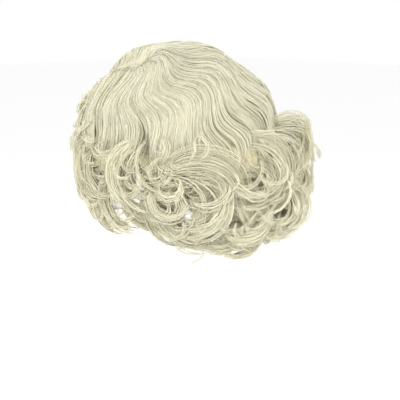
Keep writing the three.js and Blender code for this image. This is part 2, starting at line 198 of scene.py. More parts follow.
@dataclass(frozen=True)
class Flow:
    """How the smooth hair runs: straight away from the part on a flat map of the head, in waves."""

    head: Head
    part_front: Place = Place(30, 0.26)
    part_back: Place = Place(88, 0.09)
    radius: float = 0.095  # turns an angle from the crown into a distance on the map
    fan: float = 0.080  # how far apart the map counts hair that fans out by one radian
    part_depth: float = 0.006
    crown_depth: float = 0.009
    side_depth: float = 0.015
    sweep_puff: float = 0.002
    part_spread: float = 0.022
    wave_length: float = 0.058
    wave_rise: float = 0.0016
    wave_sway: float = 0.0075
    wave_start: float = -0.5
    crease_turn: float = 0.72  # the deep crease behind the left ear, an angle from the left side
    crease_depth: float = 0.011
    crease_width: float = 0.006

    def to_map(self, azimuth: np.ndarray, polar: np.ndarray) -> np.ndarray:
        """Returns places on the flat map."""
        reach = polar * self.radius
        return np.stack([np.sin(azimuth) * reach, -np.cos(azimuth) * reach], axis=-1)

    def from_map(self, place: np.ndarray) -> tuple[np.ndarray, np.ndarray]:
        """Returns the azimuth and the polar angle of places on the flat map."""
        reach = np.linalg.norm(place, axis=-1)
        return np.arctan2(place[..., 0], -place[..., 1]), reach / self.radius

    def part(self) -> tuple[np.ndarray, np.ndarray, np.ndarray, float]:
        """Returns the part's front end, the way along it, the way to its left, and its length."""
        ends = [
            self.to_map(
                np.radians(end.azimuth), self.head.polar_at(end.drop * self.head.cap_drop)
            )
            for end in (self.part_front, self.part_back)
        ]
        along = ends[1] - ends[0]
        length = float(np.linalg.norm(along))
        along = along / length
        return ends[0], along, np.array([along[1], -along[0]]), length

    def locate(
        self, azimuth: np.ndarray, polar: np.ndarray
    ) -> tuple[np.ndarray, np.ndarray, np.ndarray]:
        """Finds the flow line that a place lies on.

        Args:
            azimuth: round the crown, in radians.
            polar: angle from the crown, in radians.

        Returns:
            The side of the part, the line's label, and the distance from the part.
        """
        front, along, left, length = self.part()
        away = self.to_map(azimuth, polar) - front
        foot = np.clip(away @ along, 0.0, length)
        away = away - foot[..., None] * along
        side = np.where(away @ left >= 0, 1.0, -1.0)
        turn = np.arctan2(away @ along, np.abs(away @ left))
        return side, foot + self.fan * turn, np.linalg.norm(away, axis=-1)

    def trace(
        self, side: np.ndarray, label: np.ndarray, distance: np.ndarray, swayed: bool = True
    ) -> tuple[np.ndarray, np.ndarray]:
        """Follows a flow line, waves included.

        Args:
            side: 1 for the wearer's left of the part, -1 for the right.
            label: which flow line.
            distance: how far along it from the part.
            swayed: whether the waves move it sideways.

        Returns:
            The azimuth and the polar angle there.
        """
        front, along, left, length = self.part()
        foot = np.clip(label, 0.0, length)
        turn = (label - foot) / self.fan
        way = (np.cos(turn) * side)[..., None] * left + np.sin(turn)[..., None] * along
        place = front + foot[..., None] * along + distance[..., None] * way
        if swayed:
            across = np.stack([-way[..., 1], way[..., 0]], axis=-1)
            place = place + across * self.sway(way, distance)[..., None]
        return self.from_map(place)

    def sway(self, way: np.ndarray, distance: np.ndarray) -> np.ndarray:
        """Returns how far the finger waves move the hair sideways.

        Args:
            way: the way that the hair runs on the map.
            distance: how far from the part.

        Returns:
            The distance in metres.
        """
        strength = 0.7 + 0.3 * (way @ np.array([0.8, 0.6]))
        started = smooth(distance, 0.004, 0.026)
        turn = 2.0 * np.pi * distance / self.wave_length + self.wave_start
        return self.wave_sway * strength * started * np.sin(turn)

    def comb(self, side: np.ndarray, label: np.ndarray, distance: np.ndarray) -> np.ndarray:
        """Returns the relief of the combed hair, -1 in the grooves between wisps and 1 on them.

        Args:
            side: 1 for the wearer's left of the part, -1 for the right.
            label: which flow line.
            distance: how far along it from the part.

        Returns:
            The relief at each place.
        """
        across = label / MM + 37.0 * side
        along = distance / MM
        wide = np.sin(across / 1.9 + 1.4 * np.sin(across / 5.3) + along / 45.0)
        fine = np.sin(across / 0.83 + 1.1 * np.sin(across / 3.1 + along / 38.0) + 2.0)
        return 0.6 * wide + 0.4 * fine

    def depth(self, azimuth: np.ndarray, polar: np.ndarray, combed: float = 0.0) -> np.ndarray:
        """Depth of the smooth hair over the cap.

        Args:
            azimuth: round the crown, in radians.
            polar: angle from the crown, in radians.
            combed: how deep the grooves between wisps are.

        Returns:
            The depth at each place.
        """
        side, label, distance = self.locate(azimuth, polar)
        to_curls = smooth(polar, 0, math.pi / 2) * smooth(1 - np.cos(azimuth), 0, 0.4)
        full = self.crown_depth + (self.side_depth - self.crown_depth) * to_curls
        spread = smooth(distance, 0, self.part_spread)
        turned_over = spread * (1 - smooth(distance, self.part_spread, 4 * self.part_spread))
        puff = np.where(side < 0, self.sweep_puff * turned_over, 0.0)
        wave = self.wave_rise * spread * np.sin(2 * np.pi * distance / self.wave_length)
        stronger = 0.22 + 0.9 * smooth(distance, 0.045, 0.11)
        relief = combed * stronger * self.comb(side, label, distance) * smooth(distance, 0.002, 0.03)
        dip = self.crease_at(side, label, distance)
        return self.part_depth + (full - self.part_depth) * spread + puff + wave + relief - dip

    def crease_at(self, side: np.ndarray, label: np.ndarray, distance: np.ndarray) -> np.ndarray:
        """Returns how deep the crease behind the left ear is.

        Args:
            side: 1 for the wearer's left of the part, -1 for the right.
            label: which flow line.
            distance: how far along it from the part.

        Returns:
            The depth in metres.
        """
        middle = self.part()[3] + self.fan * self.crease_turn
        closeness = np.exp(-(((label - middle) / self.crease_width) ** 2))
        return np.where(side > 0, self.crease_depth * closeness * smooth(distance, 0.05, 0.1), 0.0)


class Lock(NamedTuple):
    """A curl: where it grows, how it turns, how it stands off the cap, and its size.

    It grows at an azimuth and a drop, heads lean degrees from straight down towards a growing
    azimuth, and turns by turn degrees over its length, the later the larger its grip. root, tip
    and lift say how far it stands off, the rest are shares of the curl's named sizes.
    """

    azimuth: float
    drop: float
    lean: float
    length: float
    turn: float
    grip: float
    root: float
    lift: float
    tip: float
    width: float
    thick: float


LOCKS: dict[str, tuple[Lock, ...]] = {
    "left_front_curls": (
        Lock(46, 0.4, 4, 1.0, 80, 3.0, 0.4, 0.2, 0.4, 0.8, 0.8),
        Lock(60, 0.46, 2, 0.95, 95, 2.4, 0.45, 0.25, 0.45, 0.85, 0.8),
        Lock(74, 0.52, 0, 0.75, 90, 1.8, 0.45, 0.4, 0.5, 0.85, 0.8),
        Lock(111, 0.5, -80, 1.1, 195, 1.0, 0.6, 0.4, 0.7, 0.75, 0.8),
        Lock(101, 0.58, -70, 0.6, 220, 1.0, 0.5, 0.3, 0.5, 0.75, 0.8),
        Lock(64, 0.66, -22, 0.72, 110, 1.5, 0.2, 0.3, 0.2, 0.55, 0.5),
        Lock(76, 0.7, -14, 0.8, 115, 1.6, 0.2, 0.4, 0.3, 0.6, 0.55),
        Lock(90, 0.68, -18, 0.82, 130, 1.4, 0.3, 0.5, 0.5, 0.65, 0.6),
        Lock(102, 0.66, -10, 0.85, 115, 1.3, 0.3, 0.5, 0.6, 0.65, 0.6),
    ),
    "left_side_curls": (
        Lock(122, 0.7, 145, 1.25, -170, 1.0, 0.5, 0.7, 0.6, 1.0, 0.85),
        Lock(127, 0.7, 122, 0.85, -115, 1.0, 0.4, 0.6, 0.6, 0.9, 0.85),
        Lock(120, 0.7, -40, 0.78, 215, 1.0, 0.4, 0.8, 0.9, 0.6, 0.7),
        Lock(114, 0.72, -8, 0.9, 105, 1.2, 0.3, 0.5, 0.7, 0.7, 0.65),
        Lock(138, 0.7, 18, 0.85, -75, 1.4, 0.3, 0.5, 0.6, 0.75, 0.7),
        Lock(126, 0.78, -18, 0.85, 150, 1.2, 0.3, 0.5, 0.8, 0.65, 0.65),
        Lock(150, 0.66, 22, 0.9, -120, 1.3, 0.4, 0.6, 0.9, 0.75, 0.7),
    ),
    "back_curls": (
        Lock(165, 0.49, 95, 1.35, -215, 1.0, 0.6, 0.8, 0.9, 1.1, 1.1),
        Lock(172, 0.6, 80, 0.75, -200, 1.0, 0.6, 0.6, 0.8, 1.0, 1.0),
        Lock(192, 0.44, 105, 1.0, -150, 1.0, 0.6, 0.9, 1.2, 1.0, 1.0),
        Lock(206, 0.56, 80, 0.95, -190, 1.0, 0.8, 0.9, 1.2, 0.9, 0.9),
        Lock(196, 0.68, 40, 1.0, -165, 1.1, 0.6, 1.2, 1.2, 0.9, 0.9),
        Lock(176, 0.78, 40, 0.9, -185, 1.0, 0.4, 0.9, 1.1, 0.8, 0.8),
        Lock(164, 0.74, 8, 0.8, 95, 1.4, 0.4, 0.6, 0.8, 0.8, 0.7),
        Lock(206, 0.78, 20, 0.85, -150, 1.2, 0.4, 0.9, 1.0, 0.8, 0.8),
    ),
    "right_side_curls": (
        Lock(222, 0.58, 60, 1.0, -150, 1.0, 0.6, 0.9, 1.0, 0.95, 0.9),
        Lock(252, 0.56, -62, 1.0, 175, 1.0, 0.6, 0.7, 0.8, 0.9, 0.85),
        Lock(224, 0.7, 8, 0.9, 110, 1.2, 0.5, 0.9, 1.0, 0.75, 0.75),
        Lock(240, 0.66, 20, 0.95, -150, 1.2, 0.5, 0.8, 0.9, 0.8, 0.75),
        Lock(250, 0.7, -8, 0.9, 130, 1.2, 0.3, 0.6, 0.8, 0.7, 0.65),
        Lock(234, 0.78, -6, 0.8, 150, 1.2, 0.3, 0.6, 0.9, 0.7, 0.65),
    ),
    "right_front_curls": (
        Lock(314, 0.4, -4, 1.0, -80, 3.0, 0.4, 0.2, 0.4, 0.8, 0.8),
        Lock(300, 0.46, -2, 0.95, -95, 2.4, 0.45, 0.25, 0.45, 0.85, 0.8),
        Lock(286, 0.52, 0, 0.75, -90, 1.8, 0.45, 0.4, 0.5, 0.85, 0.8),
        Lock(254, 0.5, 80, 1.05, -195, 1.0, 0.6, 0.4, 0.7, 0.75, 0.8),
        Lock(260, 0.6, 70, 0.6, -220, 1.0, 0.5, 0.3, 0.5, 0.75, 0.8),
        Lock(296, 0.66, 22, 0.72, -110, 1.5, 0.2, 0.3, 0.2, 0.55, 0.5),
        Lock(284, 0.7, 14, 0.8, -115, 1.6, 0.2, 0.4, 0.3, 0.6, 0.55),
        Lock(272, 0.68, 18, 0.82, -130, 1.4, 0.3, 0.5, 0.5, 0.65, 0.6),
        Lock(260, 0.68, 10, 0.85, -115, 1.3, 0.3, 0.5, 0.6, 0.65, 0.6),
    ),
    "nape_curls": (
        Lock(130, 0.86, -10, 0.75, 150, 1.1, 0.1, 0.4, 0.7, 0.6, 0.6),
        Lock(142, 0.9, 0, 0.72, 120, 1.1, 0.1, 0.4, 0.8, 0.65, 0.65),
        Lock(155, 0.92, -6, 0.8, 185, 1.0, 0.1, 0.5, 0.9, 0.7, 0.65),
        Lock(170, 0.93, 8, 0.7, -160, 1.1, 0.1, 0.5, 0.9, 0.7, 0.65),
        Lock(184, 0.92, 30, 0.78, -150, 1.0, 0.1, 0.6, 1.0, 0.7, 0.65),
        Lock(198, 0.92, -8, 0.75, 165, 1.1, 0.1, 0.5, 0.9, 0.7, 0.65),
        Lock(212, 0.9, 8, 0.75, -165, 1.1, 0.1, 0.5, 0.9, 0.65, 0.65),
        Lock(228, 0.86, -4, 0.75, 145, 1.1, 0.1, 0.4, 0.7, 0.6, 0.6),
    ),
    "fringe": (
        Lock(24, 0.28, -66, 0.95, 30, 1.5, 0.4, 0.1, 0.4, 0.75, 0.7),
        Lock(10, 0.29, -58, 0.9, 36, 1.6, 0.4, 0.15, 0.4, 0.8, 0.7),
        Lock(352, 0.3, -50, 0.85, 20, 1.6, 0.4, 0.2, 0.4, 0.8, 0.7),
        Lock(336, 0.31, -36, 0.8, 14, 1.6, 0.4, 0.2, 0.4, 0.8, 0.7),
        Lock(322, 0.34, -24, 0.75, 40, 1.8, 0.4, 0.25, 0.4, 0.8, 0.75),
    ),
}


INSIDE_LOCKS: dict[str, tuple[Lock, ...]] = {
    "back_curls": (
        Lock(195, 0.47, 100, 0.8, -170, 1.0, 0.6, 0.6, 0.7, 0.7, 0.5),
        Lock(201, 0.49, 98, 0.7, -185, 1.0, 0.7, 0.8, 0.8, 0.6, 0.5),
        Lock(207, 0.53, 85, 0.6, -200, 1.0, 0.7, 0.9, 0.9, 0.6, 0.5),
    ),
}


class Band(NamedTuple):
    """The hair under a group of locks: its ends round the head, its lines, and a share of its depth."""

    start: float
    end: float
    top: Line
    bottom: Line
    depth: float


UNDER_HAIR: dict[str, Band] = {
    "left_front_curls": Band(36, 107, CURL_LINE, RIM, 0.6),
    "left_side_curls": Band(107, 156, CURL_LINE, NAPE_LINE, 0.8),
    "back_curls": Band(156, 216, CURL_LINE, NAPE_LINE, 1.0),
    "right_side_curls": Band(216, 253, CURL_LINE, NAPE_LINE, 0.9),
    "right_front_curls": Band(253, 315, CURL_LINE, RIM, 0.6),
    "fringe": Band(-45, 36, CURL_LINE, RIM, 0.4),
    "nape_curls": Band(104, 256, NAPE_LINE, RIM, 0.6),
}


class Nodes:
    """Adds nodes to a tree and wires them by the names of their sockets."""

    def __init__(self, tree: bpy.types.NodeTree) -> None:
        """Starts on an empty tree."""
        self.tree = tree
        tree.nodes.clear()

    def add(self, kind: str, inputs: dict[Any, Any] | None = None, **settings: Any) -> bpy.types.Node:
        """Adds one node.

        Args:
            kind: the node's type name.
            inputs: by socket name or index, a value or the output that feeds it.
            settings: the node's own properties.

        Returns:
            The new node.
        """
        node = self.tree.nodes.new(kind)
        for name, value in settings.items():
            setattr(node, name, value)
        for key, value in (inputs or {}).items():
            socket = node.inputs[key] if isinstance(key, int) else self.socket(node.inputs, key)
            if isinstance(value, bpy.types.Node):
                value = self.out(value)
            if isinstance(value, bpy.types.NodeSocket):
                self.tree.links.new(value, socket)
            else:
                socket.default_value = value
        return node

    @staticmethod
    def socket(sockets: Any, name: str) -> bpy.types.NodeSocket:
        """Returns the enabled socket of that name."""
        return next(socket for socket in sockets if socket.enabled and socket.name == name)

    def out(self, node: bpy.types.Node, name: str | None = None) -> bpy.types.NodeSocket:
        """Returns a node's output of that name, or its first one."""
        if name is not None:
            return self.socket(node.outputs, name)
        return next(socket for socket in node.outputs if socket.enabled)

    def math(
        self, operation: str, first: Any, second: Any = 0.5, third: Any = 0.5
    ) -> bpy.types.NodeSocket:
        """Returns the result of a Math node."""
        node = self.add("ShaderNodeMath", {0: first, 1: second, 2: third}, operation=operation)
        return self.out(node)

    def vector(self, operation: str, first: Any, second: Any) -> bpy.types.NodeSocket:
        """Returns the result of a Vector Math node. For SCALE the second input is the scale."""
        key = "Scale" if operation == "SCALE" else 1
        node = self.add("ShaderNodeVectorMath", {0: first, key: second}, operation=operation)
        return self.out(node)

    def noise(self, place: Any, detail: float) -> bpy.types.Node:
        """Adds a noise texture of unit scale."""
        return self.add("ShaderNodeTexNoise", {"Vector": place, "Scale": 1.0, "Detail": detail})

    def ramp(self, factor: Any, *stops: tuple[float, Colour]) -> bpy.types.NodeSocket:
        """Returns the colour of a ramp, whose stops are given from its low end to its high one.

        Args:
            factor: where the ramp is read.
            stops: a position and a colour for each, low ones first.

        Returns:
            The colour's socket.
        """
        node = self.add("ShaderNodeValToRGB", {"Fac": factor})
        made = node.color_ramp.elements
        for element, (position, colour) in ((made[0], stops[0]), (made[1], stops[-1])):
            element.position, element.color = position, (*colour, 1.0)
        for position, colour in stops[1:-1]:
            made.new(position).color = (*colour, 1.0)
        return self.out(node, "Color")

    def attribute(self, name: str, kind: str = "FLOAT") -> bpy.types.NodeSocket:
        """Returns a named attribute in a geometry tree."""
        return self.out(self.add("GeometryNodeInputNamedAttribute", {"Name": name}, data_type=kind))

    def store(self, geometry: Any, name: str, value: Any, kind: str, domain: str) -> Any:
        """Returns the geometry with a named attribute written on it."""
        inputs = {"Geometry": geometry, "Name": name, "Value": value}
        node = self.add("GeometryNodeStoreNamedAttribute", inputs, data_type=kind, domain=domain)
        return self.out(node)

    def interface(self, way: str, **kinds: str) -> None:
        """Gives the tree its INPUT or OUTPUT sockets, a kind for each name."""
        for name, kind in kinds.items():
            self.tree.interface.new_socket(name, in_out=way, socket_type="NodeSocket" + kind)

    def surface(self, **inputs: Any) -> None:
        """Ends a material with a Principled shader, an underscore in a name read as a space."""
        named = {name.replace("_", " "): value for name, value in inputs.items()}
        shader = self.add("ShaderNodeBsdfPrincipled", named)
        self.add("ShaderNodeOutputMaterial", {"Surface": shader})


def new_material(name: str) -> tuple[bpy.types.Material, Nodes]:
    """Returns a new material and its empty tree."""
    made = bpy.data.materials.new(name)
    made.use_nodes = True
    return made, Nodes(made.node_tree)


def add_object(name: str, data: bpy.types.ID) -> bpy.types.Object:
    """Returns a new object in the scene for a mesh, a lamp or a camera."""
    made = bpy.data.objects.new(name, data)
    bpy.context.scene.collection.objects.link(made)
    return made


def write_attribute(mesh: bpy.types.Mesh, name: str, values: np.ndarray) -> None:
    """Writes whole numbers, numbers or vectors at a mesh's points.

    Args:
        mesh: the mesh to write on.
        name: the attribute's name.
        values: one row for each point.
    """
    if values.ndim > 1:
        kind, key, stored = "FLOAT_VECTOR", "vector", np.float32
    elif values.dtype.kind == "i":
        kind, key, stored = "INT", "value", np.int32
    else:
        kind, key, stored = "FLOAT", "value", np.float32
    layer = mesh.attributes.new(name, kind, "POINT")
    layer.data.foreach_set(key, values.astype(stored).ravel())


@dataclass
class StrandMaker:
    """Geometry nodes that turn guides into many fine, closed, tapered strands."""

    name: str = "strands_on_guides"
    sides: int = 3
    thinnest: float = 0.65  # share of the strands' radius
    thicker: float = 0.7  # how much thicker than that the thickest strand is
    late_root: float = 0.6  # how much of its trim a strand may lose at its root
    innermost: float = 0.25  # how near to the middle of its wisp a strand may lie
    wander_scale: float = 55.0  # the frizz's noise, in turns in a metre
    wander_apart: float = 97.0  # how far apart two strands read that noise
    wander_gain: float = 4.0
    pattern: tuple[float, float, float] = (611.0, 87.0, 90.0)  # where strands read their colour
    tree: bpy.types.NodeTree = field(init=False)

    def __post_init__(self) -> None:
        """Builds the tree."""
        self.tree = bpy.data.node_groups.new(self.name, "GeometryNodeTree")
        nodes = Nodes(self.tree)
        nodes.interface("INPUT", Geometry="Geometry", Radius="Float", Frizz="Float", Twist="Float")
        nodes.interface("INPUT", Trim="Float", Seed="Int", Finish="Material")
        nodes.interface("OUTPUT", Geometry="Geometry")
        given = nodes.add("NodeGroupInput")
        strands = self.copies(nodes, given)
        spread = self.spread(nodes, given, strands)
        meshed = self.skin(nodes, given, spread)
        nodes.add("NodeGroupOutput", {"Geometry": meshed})

    def chance(self, nodes: Nodes, given: bpy.types.Node, step: int, low: float, high: float) -> Any:
        """Returns a random value for each strand, from its own seed."""
        seed = nodes.math("ADD", nodes.out(given, "Seed"), float(step))
        node = nodes.add("FunctionNodeRandomValue", {"Min": low, "Max": high, "Seed": seed})
        return nodes.out(node)

    def copies(self, nodes: Nodes, given: bpy.types.Node) -> bpy.types.NodeSocket:
        """Copies each guide into its strands and gives every strand its own chances.

        Args:
            nodes: adds to the tree.
            given: the tree's inputs.

        Returns:
            The trimmed curves.
        """
        curves = nodes.add("GeometryNodeMeshToCurve", {"Mesh": nodes.out(given, "Geometry")})
        copied = nodes.add(
            "GeometryNodeDuplicateElements",
            {"Geometry": nodes.out(curves), "Amount": nodes.attribute("copies", "INT")},
            domain="SPLINE",
        )
        current = nodes.out(copied, "Geometry")
        chances = (
            ("angle", 0.0, 2 * math.pi),
            ("reach", self.innermost, 1.0),
            ("strand", 0.0, 1.0),
            ("lag", 0.0, 1.0),
        )
        for step, (name, low, high) in enumerate(chances):
            value = self.chance(nodes, given, step, low, high)
            current = nodes.store(current, name, value, "FLOAT", "CURVE")
        trim = nodes.out(given, "Trim")
        late = nodes.math("MULTIPLY", nodes.attribute("lag"), trim)
        start = nodes.math("MULTIPLY", late, self.late_root)
        cut = nodes.math("MULTIPLY", nodes.attribute("strand"), trim)
        end = nodes.math("SUBTRACT", 1.0, cut)
        trimmed = nodes.add(
            "GeometryNodeTrimCurve", {"Curve": current, "Start": start, "End": end}, mode="FACTOR"
        )
        return nodes.out(trimmed)

    def spread(self, nodes: Nodes, given: bpy.types.Node, strands: Any) -> bpy.types.NodeSocket:
        """Moves each strand to its own place in the section of its wisp, with a little frizz.

        Args:
            nodes: adds to the tree.
            given: the tree's inputs.
            strands: the curves, all along the middles of their wisps.

        Returns:
            The moved curves.
        """
        share = nodes.attribute("share")
        twist = nodes.math("MULTIPLY", share, nodes.out(given, "Twist"))
        angle = nodes.math("ADD", nodes.attribute("angle"), twist)
        reach = nodes.attribute("reach")
        across = nodes.math("MULTIPLY", nodes.math("COSINE", angle), reach)
        above = nodes.math("MULTIPLY", nodes.math("SINE", angle), reach)
        moved = nodes.vector(
            "ADD",
            nodes.vector("SCALE", nodes.attribute("side", "FLOAT_VECTOR"), across),
            nodes.vector("SCALE", nodes.attribute("rise", "FLOAT_VECTOR"), above),
        )
        own = nodes.math("MULTIPLY", nodes.attribute("strand"), self.wander_apart)
        apart = nodes.add("ShaderNodeCombineXYZ", {"X": own})
        where = nodes.vector("SCALE", nodes.add("GeometryNodeInputPosition"), self.wander_scale)
        noise = nodes.noise(nodes.vector("ADD", where, apart), 1.0)
        wander = nodes.vector("SUBTRACT", nodes.out(noise, "Color"), (0.5, 0.5, 0.5))
        loose = nodes.math("MULTIPLY", nodes.attribute("loose"), nodes.out(given, "Frizz"))
        frizz = nodes.vector("SCALE", wander, nodes.math("MULTIPLY", loose, self.wander_gain))
        placed = nodes.add(
            "GeometryNodeSetPosition",
            {"Geometry": strands, "Offset": nodes.vector("ADD", moved, frizz)},
        )
        return nodes.out(placed)

    def skin(self, nodes: Nodes, given: bpy.types.Node, strands: Any) -> bpy.types.NodeSocket:
        """Gives each strand its thickness, its place in the colour pattern and its finish.

        Args:
            nodes: adds to the tree.
            given: the tree's inputs.
            strands: the curves.

        Returns:
            The strands as one mesh.
        """
        read = zip("XYZ", ("strand", "angle", "share"), self.pattern)
        pattern = nodes.add(
            "ShaderNodeCombineXYZ",
            {axis: nodes.math("MULTIPLY", nodes.attribute(name), gain) for axis, name, gain in read},
        )
        stored = nodes.store(strands, "flow", pattern, "FLOAT_VECTOR", "POINT")
        lag = nodes.attribute("lag")
        varied = nodes.math("MULTIPLY_ADD", lag, self.thicker, self.thinnest)
        tapered = nodes.math("MULTIPLY", varied, nodes.attribute("fine"))
        radius = nodes.math("MULTIPLY", tapered, nodes.out(given, "Radius"))
        section = nodes.add(
            "GeometryNodeCurvePrimitiveCircle", {"Resolution": self.sides, "Radius": 1.0}
        )
        tubes = nodes.add(
            "GeometryNodeCurveToMesh",
            {"Curve": stored, "Profile Curve": section, "Scale": radius, "Fill Caps": True},
        )
        soft = nodes.add("GeometryNodeSetShadeSmooth", {"Geometry": tubes})
        real = nodes.add("GeometryNodeRealizeInstances", {"Geometry": soft})
        finish = nodes.out(given, "Finish")
        done = nodes.add("GeometryNodeSetMaterial", {"Geometry": real, "Material": finish})
        return nodes.out(done)

    def grow(
        self, guides: "Guides", name: str, finish: bpy.types.Material, **sizes: Any
    ) -> bpy.types.Object:
        """Turns guides into a plain mesh of strands.

        Args:
            guides: the wisps to follow.
            name: the new piece's name.
            finish: the hair's material.
            sizes: the tree's named inputs.

        Returns:
            The piece, with its modifier applied.
        """
        source = add_object(name + "_guides", guides.mesh(name + "_guides"))
        modifier = source.modifiers.new("strands", "NODES")
        modifier.node_group = self.tree
        given = {"Finish": finish, **sizes}
        for item in self.tree.interface.items_tree:
            if item.in_out == "INPUT" and item.name in given:
                modifier[item.identifier] = given[item.name]
        graph = bpy.context.evaluated_depsgraph_get()
        made = bpy.data.meshes.new_from_object(
            source.evaluated_get(graph), preserve_all_data_layers=True, depsgraph=graph
        )
        made.name = name
        bpy.data.objects.remove(source)
        if not made.materials:
            made.materials.append(finish)
        made.materials[0] = finish
        return add_object(name, made)


@dataclass
class Guides:
    """Wisps of hair as polylines, each point with the size and the way of its section."""

    wisps: list[dict[str, np.ndarray]] = field(default_factory=list)

    def add(
        self,
        points: np.ndarray,
        side: np.ndarray,
        rise: np.ndarray,
        copies: int,
        fine: np.ndarray,
        loose: float = 1.0,
    ) -> None:
        """Adds one wisp.

        Args:
            points: the wisp's middle.
            side: half its width, as a vector at each point.
            rise: half its thickness, as a vector at each point.
            copies: how many strands it has.
            fine: the strands' thickness along it, 0 to 1.
            loose: how frizzy it is.
        """
        share = np.linspace(0.0, 1.0, len(points))
        self.wisps.append(
            {
                "point": points,
                "side": side,
                "rise": rise,
                "share": share,
                "fine": fine,
                "loose": loose * (0.25 + 0.75 * share),
                "copies": np.full(len(points), copies),
            }
        )

    def mesh(self, name: str) -> bpy.types.Mesh:
        """Returns the wisps as a mesh of edges with their values as attributes.

        Args:
            name: the mesh's name.

        Returns:
            The mesh.
        """
        made = bpy.data.meshes.new(name)
        counts = [len(wisp["point"]) for wisp in self.wisps]
        starts = np.concatenate([[0], np.cumsum(counts)])
        edges = [
            (int(start) + k, int(start) + k + 1)
            for start, count in zip(starts, counts)
            for k in range(count - 1)
        ]
        joined = {key: np.concatenate([wisp[key] for wisp in self.wisps]) for key in self.wisps[0]}
        made.from_pydata(joined.pop("point"), edges, [])
        for key, values in joined.items():
            write_attribute(made, key, values)
        return made


def mesh_piece(
    name: str,
    points: np.ndarray,
    faces: Faces,
    flow: np.ndarray,
    finish: bpy.types.Material,
) -> bpy.types.Object:
    """Makes a smooth mesh piece with the hair's pattern on it.

    Args:
        name: the piece's name.
        points: its vertices.
        faces: its faces, pointing out.
        flow: where each vertex lies in the hair's pattern, in millimetres, with z along the hair.
        finish: its material.

    Returns:
        The new object.
    """
    made = bpy.data.meshes.new(name)
    made.from_pydata(points.reshape(-1, 3), [], faces)
    write_attribute(made, "flow", flow.reshape(-1, 3))
    made.materials.append(finish)
    made.shade_smooth()
    made.validate()
    return add_object(name, made)


def closed_sheet(rows: int, columns: int) -> Faces:
    """Faces of a closed shell from an outer and an inner grid of points.

    Args:
        rows: how many rows each grid has.
        columns: how many points each row has.

    Returns:
        The faces, with the outer grid's points first.
    """
    inner = rows * columns
    faces = []
    for row in range(rows - 1):
        for column in range(columns - 1):
            a = row * columns + column
            b, c, d = a + 1, a + columns + 1, a + columns
            faces.append((a, b, c, d))
            faces.append((a + inner, d + inner, c + inner, b + inner))
    border = list(range(columns))
    border += [row * columns + columns - 1 for row in range(1, rows)]
    border += [(rows - 1) * columns + k for k in range(columns - 2, -1, -1)]
    border += [row * columns for row in range(rows - 2, 0, -1)]
    for here, after in zip(border, border[1:] + border[:1]):
        faces.append((here, here + inner, after + inner, after))
    return faces


def face_out(piece: bpy.types.Object, merge: float = 1e-5) -> None:
    """Merges a closed mesh's doubles and turns its faces out.

    Args:
        piece: the object to mend.
        merge: how close two points count as one.
    """
    work = bmesh.new()
    work.from_mesh(piece.data)
    bmesh.ops.remove_doubles(work, verts=work.verts[:], dist=merge)
    bmesh.ops.recalc_face_normals(work, faces=work.faces[:])
    work.to_mesh(piece.data)
    work.free()


@dataclass
class FibreStreaks:
    """A shader node group that tells one fibre from the next by where it lies in the hair."""

    name: str = "fibre_streaks"
    along: float = 0.03  # streaks in a millimetre along the hair
    wide: tuple[float, float, float] = (0.13, 0.13, 0.02)  # the same of the broad shades
    wide_share: float = 0.2
    tree: bpy.types.NodeTree = field(init=False)

    def __post_init__(self) -> None:
        """Builds the group, which puts out a tone and the height of the grooves."""
        self.tree = bpy.data.node_groups.new(self.name, "ShaderNodeTree")
        nodes = Nodes(self.tree)
        nodes.interface("INPUT", Flow="Vector", Streaks="Float")
        nodes.interface("OUTPUT", Tone="Float", Groove="Float")
        given = nodes.add("NodeGroupInput")
        flow = nodes.out(given, "Flow")
        streaks = nodes.out(given, "Streaks")
        scale = nodes.add("ShaderNodeCombineXYZ", {"X": streaks, "Y": streaks, "Z": self.along})
        fine = nodes.noise(nodes.vector("MULTIPLY", flow, scale), 2.0)
        wide = nodes.noise(nodes.vector("MULTIPLY", flow, self.wide), 1.0)
        share = nodes.math("MULTIPLY", nodes.out(wide, "Fac"), self.wide_share)
        tone = nodes.math("MULTIPLY_ADD", nodes.out(fine, "Fac"), 1.0 - self.wide_share, share)
        nodes.add("NodeGroupOutput", {"Tone": tone, "Groove": nodes.out(fine, "Fac")})


@dataclass(frozen=True)
class HairFinish:
    """Pale synthetic fibre with a silky sheen, lighter and darker from strand to strand."""

    name: str = "pale_hair"
    light: Colour = (0.76, 0.745, 0.60)
    middle: Colour = (0.66, 0.63, 0.455)
    dark: Colour = (0.55, 0.51, 0.335)
    stops: tuple[float, float, float] = (0.30, 0.46, 0.66)  # the tones of dark, middle and light
    roughness: float = 0.3
    streak: float = 0.9  # streaks in a millimetre across the hair
    groove: float = 0.0
    groove_depth: float = 1.2 * MM
    sheen: float = 0.35
    sheen_tint: Colour = (1.0, 0.98, 0.88)

    def build(self, streaks: FibreStreaks) -> bpy.types.Material:
        """Builds the material.

        Args:
            streaks: the node group that all hair shares.

        Returns:
            The material.
        """
        made, nodes = new_material(self.name)
        flow = nodes.add("ShaderNodeAttribute", attribute_name="flow", attribute_type="GEOMETRY")
        fibres = nodes.add(
            "ShaderNodeGroup",
            {"Flow": nodes.out(flow, "Vector"), "Streaks": self.streak},
            node_tree=streaks.tree,
        )
        colours = zip(self.stops, (self.dark, self.middle, self.light))
        inputs = {
            "Base_Color": nodes.ramp(nodes.out(fibres, "Tone"), *colours),
            "Roughness": self.roughness,
            "Specular_IOR_Level": 0.5,
            "Sheen_Weight": self.sheen,
            "Sheen_Roughness": 0.5,
            "Sheen_Tint": (*self.sheen_tint, 1.0),
        }
        if self.groove:
            height = nodes.out(fibres, "Groove")
            grooves = {"Height": height, "Strength": self.groove, "Distance": self.groove_depth}
            inputs["Normal"] = nodes.add("ShaderNodeBump", grooves)
        nodes.surface(**inputs)
        return made


